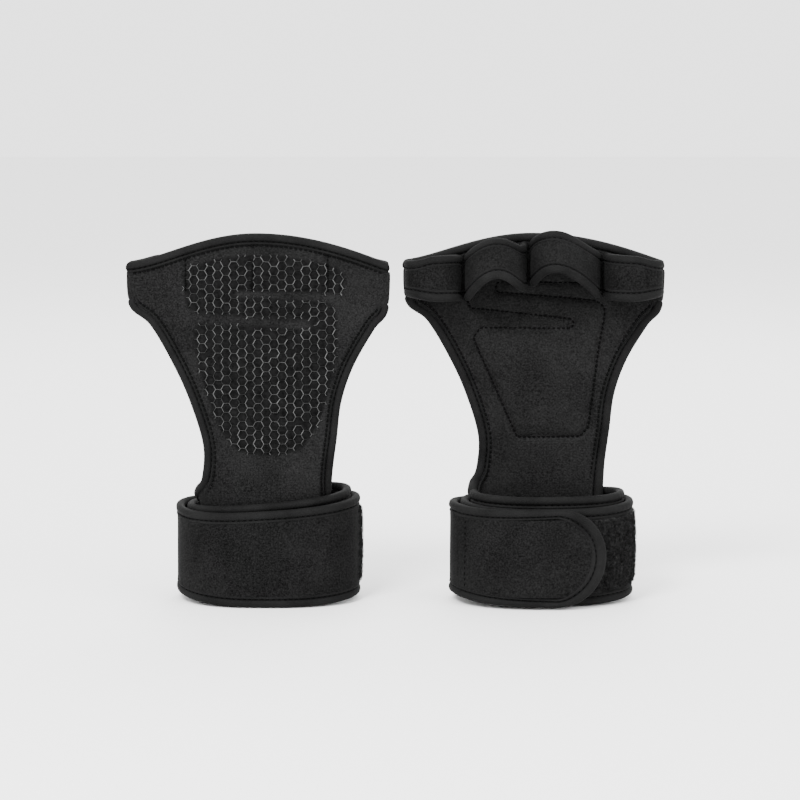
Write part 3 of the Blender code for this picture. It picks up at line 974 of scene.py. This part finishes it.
    def finger_path(self):
        """The finger strap's middle line as rows of (x, distance off the panel, rise, lean)."""
        last = len(STANDS) - 1
        rows = []
        for k, (stand, rise, tilt, peak) in enumerate(zip(STANDS, RISES[self.side], TILTS, PEAKS)):
            start = SEAMS[k] + (FINGER_MARGIN if k else 0)
            end = SEAMS[k + 1] - (FINGER_MARGIN if k < last else 0)
            low_start = FINGER_OFF if k else FINGER_END_OFF
            low_end = FINGER_OFF if k < last else FINGER_END_OFF
            for turn in np.linspace(math.pi, 0, 30):
                share = (1 + math.cos(turn)) / 2
                height = math.sin(turn)
                off = low_start + (low_end - low_start) * share + stand * height
                dip = SEAM_RISES[k] + (SEAM_RISES[k + 1] - SEAM_RISES[k]) * share
                dip *= (1 - height) ** 2
                climb = math.sin(math.pi * share ** peak) ** 0.8 if 0 < share < 1 else 0
                rows.append((start + (end - start) * share, off, rise * climb + dip,
                             tilt * height))
            if k < last:
                for turn in np.linspace(0, math.pi, 10)[1:-1]:
                    rows.append((SEAMS[k + 1] - FINGER_MARGIN * math.cos(turn),
                                 FINGER_OFF - FINGER_MARGIN * math.sin(turn),
                                 SEAM_RISES[k + 1], 0))
        rows = resample(np.array(rows), spacing=0.8)
        for _ in range(2):
            rows[1:-1] = (rows[:-2] + 2 * rows[1:-1] + rows[2:]) / 4
        return rows

    def build_fingers(self):
        """One strap for the four finger loops, bound and stitched along both edges."""
        x, off, rise, lean = self.finger_path().T
        z = (FINGER_FOOT_Z + FINGER_WIDTH / 2 + rise
             + FINGER_CROWN * (1 - np.abs(x) / FINGER_REACH))
        path = panel_middle(x, z) + np.stack([0 * x, off, 0 * x], 1)
        along = tangents(path)
        width = unit(np.stack([0 * x, -np.sin(lean), np.cos(lean)], 1))
        width = unit(width - along * (width * along).sum(1)[:, None])
        normal = -np.cross(along, width)
        half = FINGER_WIDTH / 2 - FINGER_NARROWING * smooth_step(
            (np.abs(x) - FINGER_NARROW_FROM) / (SEAMS[-1] - FINGER_NARROW_FROM))[:, None]
        section = band_section(FINGER_HALF, 14)[None] * np.ones((len(path), 1, 1))
        section[..., 0] *= half - TUCK
        pile, edges, thread = Pile(), Pile(), Pile()
        pile.sweep(path, width, normal, section)
        length = lengths_along(path)
        section = rounded_ends(binding_sections(FINGER_BINDING_HALF, np.ones(len(path)), 1),
                               np.minimum(length, length[-1] - length))
        for inward in (-width, width):
            edge = path - inward * half
            edges.sweep(edge, inward, normal, section)
            for out in (normal, -normal):
                thread.stitches(groove_line(edge, inward, out, FINGER_BINDING_HALF), out)
        loops = [f"finger_loop_{number}" for number in range(1, 5)]
        strap = self.make("finger_strap", pile, "neoprene", loops)
        bound = self.make("finger_strap_binding", edges, "binding")
        sewn = self.make("finger_strap_thread", thread, "thread")
        for piece in (strap, bound, sewn):
            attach(piece, self.node("palm"))

    # ---- wrist strap ----

    def lean(self, x, height):
        """How much higher a point of the cuff stands than in a straight winding."""
        across = (x - RING_X) / END_REACH
        tilt = TOP_TILTS[self.side] * across * height / STRAP_WIDTH
        return tilt + END_RISE * np.abs(across) ** 3 * (1 - 0.5 * height / STRAP_WIDTH)

    def strap_points(self, turn, height, lift):
        """Points of the wound strap, height above its lower edge and lift out from its middle,
        and the way out of its face at each."""
        turn, height, lift = np.broadcast_arrays(turn, height, lift)
        flat, out = ring(turn, lift)
        foot = FIRST_TURN_LIFT * smooth_step((FLAT_FROM - turn) / FLAT_FROM)
        foot = foot + smooth_step((turn - SETTLE_FROM) / SETTLE_OVER) * TAIL_Z
        return at_height(flat, foot + height + self.lean(flat[..., 0], height)), at_height(out, 0)

    def build_strap(self):
        """The wound strap, with a binding and stitches along both edges."""
        turn = np.arange(STRAP_SPAN[0], STRAP_SPAN[1] + 0.1, STRAP_STEP)
        along = lengths_along(ring(turn, 0)[0])
        heights = np.linspace(TUCK, STRAP_WIDTH - TUCK, STRAP_ROWS)
        wave = ripple(along[:, None], heights, *STRAP_RIPPLE)
        pinch = PINCH_DEPTH * np.sin(along[:, None] * math.tau / PINCH_PITCH)
        near = np.exp(-((np.abs(heights - STRAP_WIDTH / 2) - PINCH_OFF) / PINCH_SPREAD) ** 2)
        outer, _ = self.strap_points(turn[:, None], heights,
                                     STRAP_HALF + wave * 0.5 + pinch * near)
        inner, _ = self.strap_points(turn[:, None], heights, -STRAP_HALF + wave * 0.5)
        pile = Pile()
        pile.slab(outer, inner, 0.4)
        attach(self.make("wrist_strap", pile, "neoprene", ["wrist_strap"]), "straps")
        section = binding_sections(STRAP_BINDING_HALF, 1, pucker(along, 0.04))
        for name, height, way in (("strap_top_binding", STRAP_WIDTH, -1),
                                  ("strap_bottom_binding", 0, 1)):
            wander = ripple(along, 0, *STRAP_EDGE_RIPPLE)
            edge, normal = self.strap_points(turn, height, wander)
            inward = np.tile((0, 0, way), (len(turn), 1))
            pile, thread = Pile(), Pile()
            pile.sweep(edge, inward, normal, section)
            thread.stitches(groove_line(edge, inward, normal, STRAP_BINDING_HALF), normal)
            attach(self.make(name, pile, "binding", [name]), "straps")
            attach(self.make(f"{name}_thread", thread, "thread"), "straps")

    # ---- tail ----

    def tail_point(self, s, height, lift):
        """A point of the tail from its flat layout, and the way out of its face."""
        turn = np.interp(s, TAIL_ALONG, TAIL_TURNS)
        return self.strap_points(turn, STRAP_WIDTH / 2 + height, lift + TAIL_PROUD)

    def build_tail(self):
        """The strap's free end: its cloth, the binding round it and its stitches."""
        half = STRAP_WIDTH / 2
        height = np.linspace(TUCK - half, half - TUCK, 30)
        reach = TAIL_LENGTH - TAIL_ROUND + (TAIL_ROUND - TUCK * TIP_WIDER) * np.sqrt(
            np.maximum(1 - (height / (half - TUCK + 0.1)) ** 2, 0))
        s = np.linspace(0, 1, 56)[:, None] * reach
        wave = tail_wave(s, height)
        front, _ = self.tail_point(s, height, STRAP_HALF + wave)
        back, _ = self.tail_point(s, height, -STRAP_HALF + wave)
        cloth, pile, thread = Pile(), Pile(), Pile()
        cloth.slab(front, back, 0.4)
        outline = resample(tail_outline(0), spacing=EDGE_STEP)
        edge, normal = self.tail_point(*outline.T, 0)
        inner, _ = self.tail_point(*resample(tail_outline(1), count=len(outline)).T, 0)
        inward = unit(inner - edge)
        wider = 1 + (TIP_WIDER - 1) * smooth_step(
            (outline[:, 0] - TAIL_LENGTH + TAIL_ROUND) / (0.7 * TAIL_ROUND))
        pile.sweep(edge, inward, normal, binding_sections(TAIL_BINDING_HALF, wider, 1))
        thread.stitches(groove_line(edge, inward, normal, TAIL_BINDING_HALF, wider[:, None]),
                        normal)
        z = np.linspace(PATCH_MARGIN - half, half - PATCH_MARGIN, 20)
        seam_lift = STRAP_HALF - 0.1 + tail_wave(TAIL_SEAM, z)
        thread.stitches(*self.tail_point(TAIL_SEAM, z, seam_lift), TAIL_STITCH)
        for piece in (self.make("strap_tail", cloth, "neoprene", ["strap_tail"]),
                      self.make("tail_binding", pile, "binding", ["tail_binding"]),
                      self.make("tail_thread", thread, "thread")):
            self.bend_at_seam(piece)

    # ---- fastening ----

    def build_loop_patch(self):
        """A patch of looped pile: a lumpy backing and a few thousand tiny loops of fibre."""
        low, high = PATCH_MARGIN, STRAP_WIDTH - PATCH_MARGIN
        turn, height = np.meshgrid(np.linspace(*PATCH_TURNS, 90), np.linspace(low, high, 40),
                                   indexing="ij")
        lumps = rng.normal(0, PILE_LUMPS, turn.shape)
        front, _ = self.strap_points(turn, height, patch_lift(turn, height) + lumps)
        back, _ = self.strap_points(turn, height, PATCH_BACK)
        pile = Pile()
        pile.slab(front, back, 0.2)
        turns = rng.uniform(PATCH_TURNS[0] + 0.5, PATCH_TURNS[1] - 0.5, PILE_COUNT)
        heights = rng.uniform(low + 0.3, high - 0.3, PILE_COUNT)
        spreads = rng.uniform(*PILE_SPREADS, PILE_COUNT)
        rises = rng.uniform(*PILE_RISES, PILE_COUNT)
        swings = rng.uniform(0, math.pi, PILE_COUNT)
        arc = np.linspace(0, math.pi, 5)
        for middle, up, spread, rise, swing in zip(turns, heights, spreads, rises, swings):
            along = np.cos(arc) * spread
            t = middle + along * math.cos(swing) * DEGREES_A_MM
            h = np.clip(up + along * math.sin(swing), low - 1.2, high + 1.2)
            path, out = self.strap_points(t, h, patch_lift(t, h) - 0.05 + np.sin(arc) * rise)
            side = unit(np.cross(tangents(path), out))
            pile.sweep(path, side, unit(np.cross(side, tangents(path))), PILE_FIBRE)
        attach(self.make("loop_patch", pile, "loop_pile", ["loop_patch"]), "straps")

    def build_hook_patch(self):
        """The tail's hook tape: a thin backing with rows of tiny pegs, stitched down."""
        start, end = np.interp(HOOK_TURNS, TAIL_TURNS, TAIL_ALONG)
        half = STRAP_WIDTH / 2 - 2 * PATCH_MARGIN
        s, height = np.linspace(start, end, 36)[:, None], np.linspace(-half, half, 22)
        front, _ = self.tail_point(s, height, HOOK_BACK)
        back, _ = self.tail_point(s, height, HOOK_FACE)
        pile, thread = Pile(), Pile()
        pile.slab(front, back, 0.2)
        box = np.array([(-1, -1), (1, -1), (1, 1), (-1, 1)]) * PEG_HALF
        up = np.tile((0, 0, 1), (len(PEG_LIFTS), 1))
        for at in np.arange(start + HOOK_CLEAR, end - HOOK_CLEAR, HOOK_PITCH):
            for z in np.arange(HOOK_CLEAR - half, half - HOOK_CLEAR, HOOK_PITCH):
                path, normal = self.tail_point(at + PEG_LEANS, z, PEG_LIFTS)
                pile.sweep(path, unit(np.cross(up, normal)), up, box)
        near, far, edge = start + HOOK_SEWN, end - HOOK_SEWN, half - HOOK_SEWN
        border = np.array([(near, -edge), (near, edge), (far, edge), (far, -edge), (near, -edge)])
        line, normal = self.tail_point(*resample(border, spacing=EDGE_STEP).T, HOOK_FACE)
        thread.stitches(line, -normal, TAIL_STITCH)
        tape = self.make("hook_patch", pile, "hook", ["hook_patch"], smooth=False)
        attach(tape, self.node("tail"))
        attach(self.make("hook_thread", thread, "thread"), self.node("tail"))

    def build(self):
        """Make every piece; the random numbers are drawn in this order."""
        self.build_panel()
        self.build_bindings()
        self.build_print()
        self.build_panel_thread()
        self.build_fingers()
        self.build_strap()
        self.build_tail()
        self.build_loop_patch()
        self.build_hook_patch()


def main():
    """Set the stage and build both grips."""
    make_camera()
    make_room()
    looks = {
        "panel": neoprene_look("panel", 0.0016, 0.0140, film=True),
        "neoprene": neoprene_look("neoprene", 0.0008, 0.0110),
        "binding": binding_look(),
        "silicone": silicone_look(),
        "thread": thread_and_groove_shade_look(),
        "loop_pile": pile_look(),
        "hook": hook_look(),
    }
    for side in ("left", "right"):
        Grip(side, looks).build()


main()
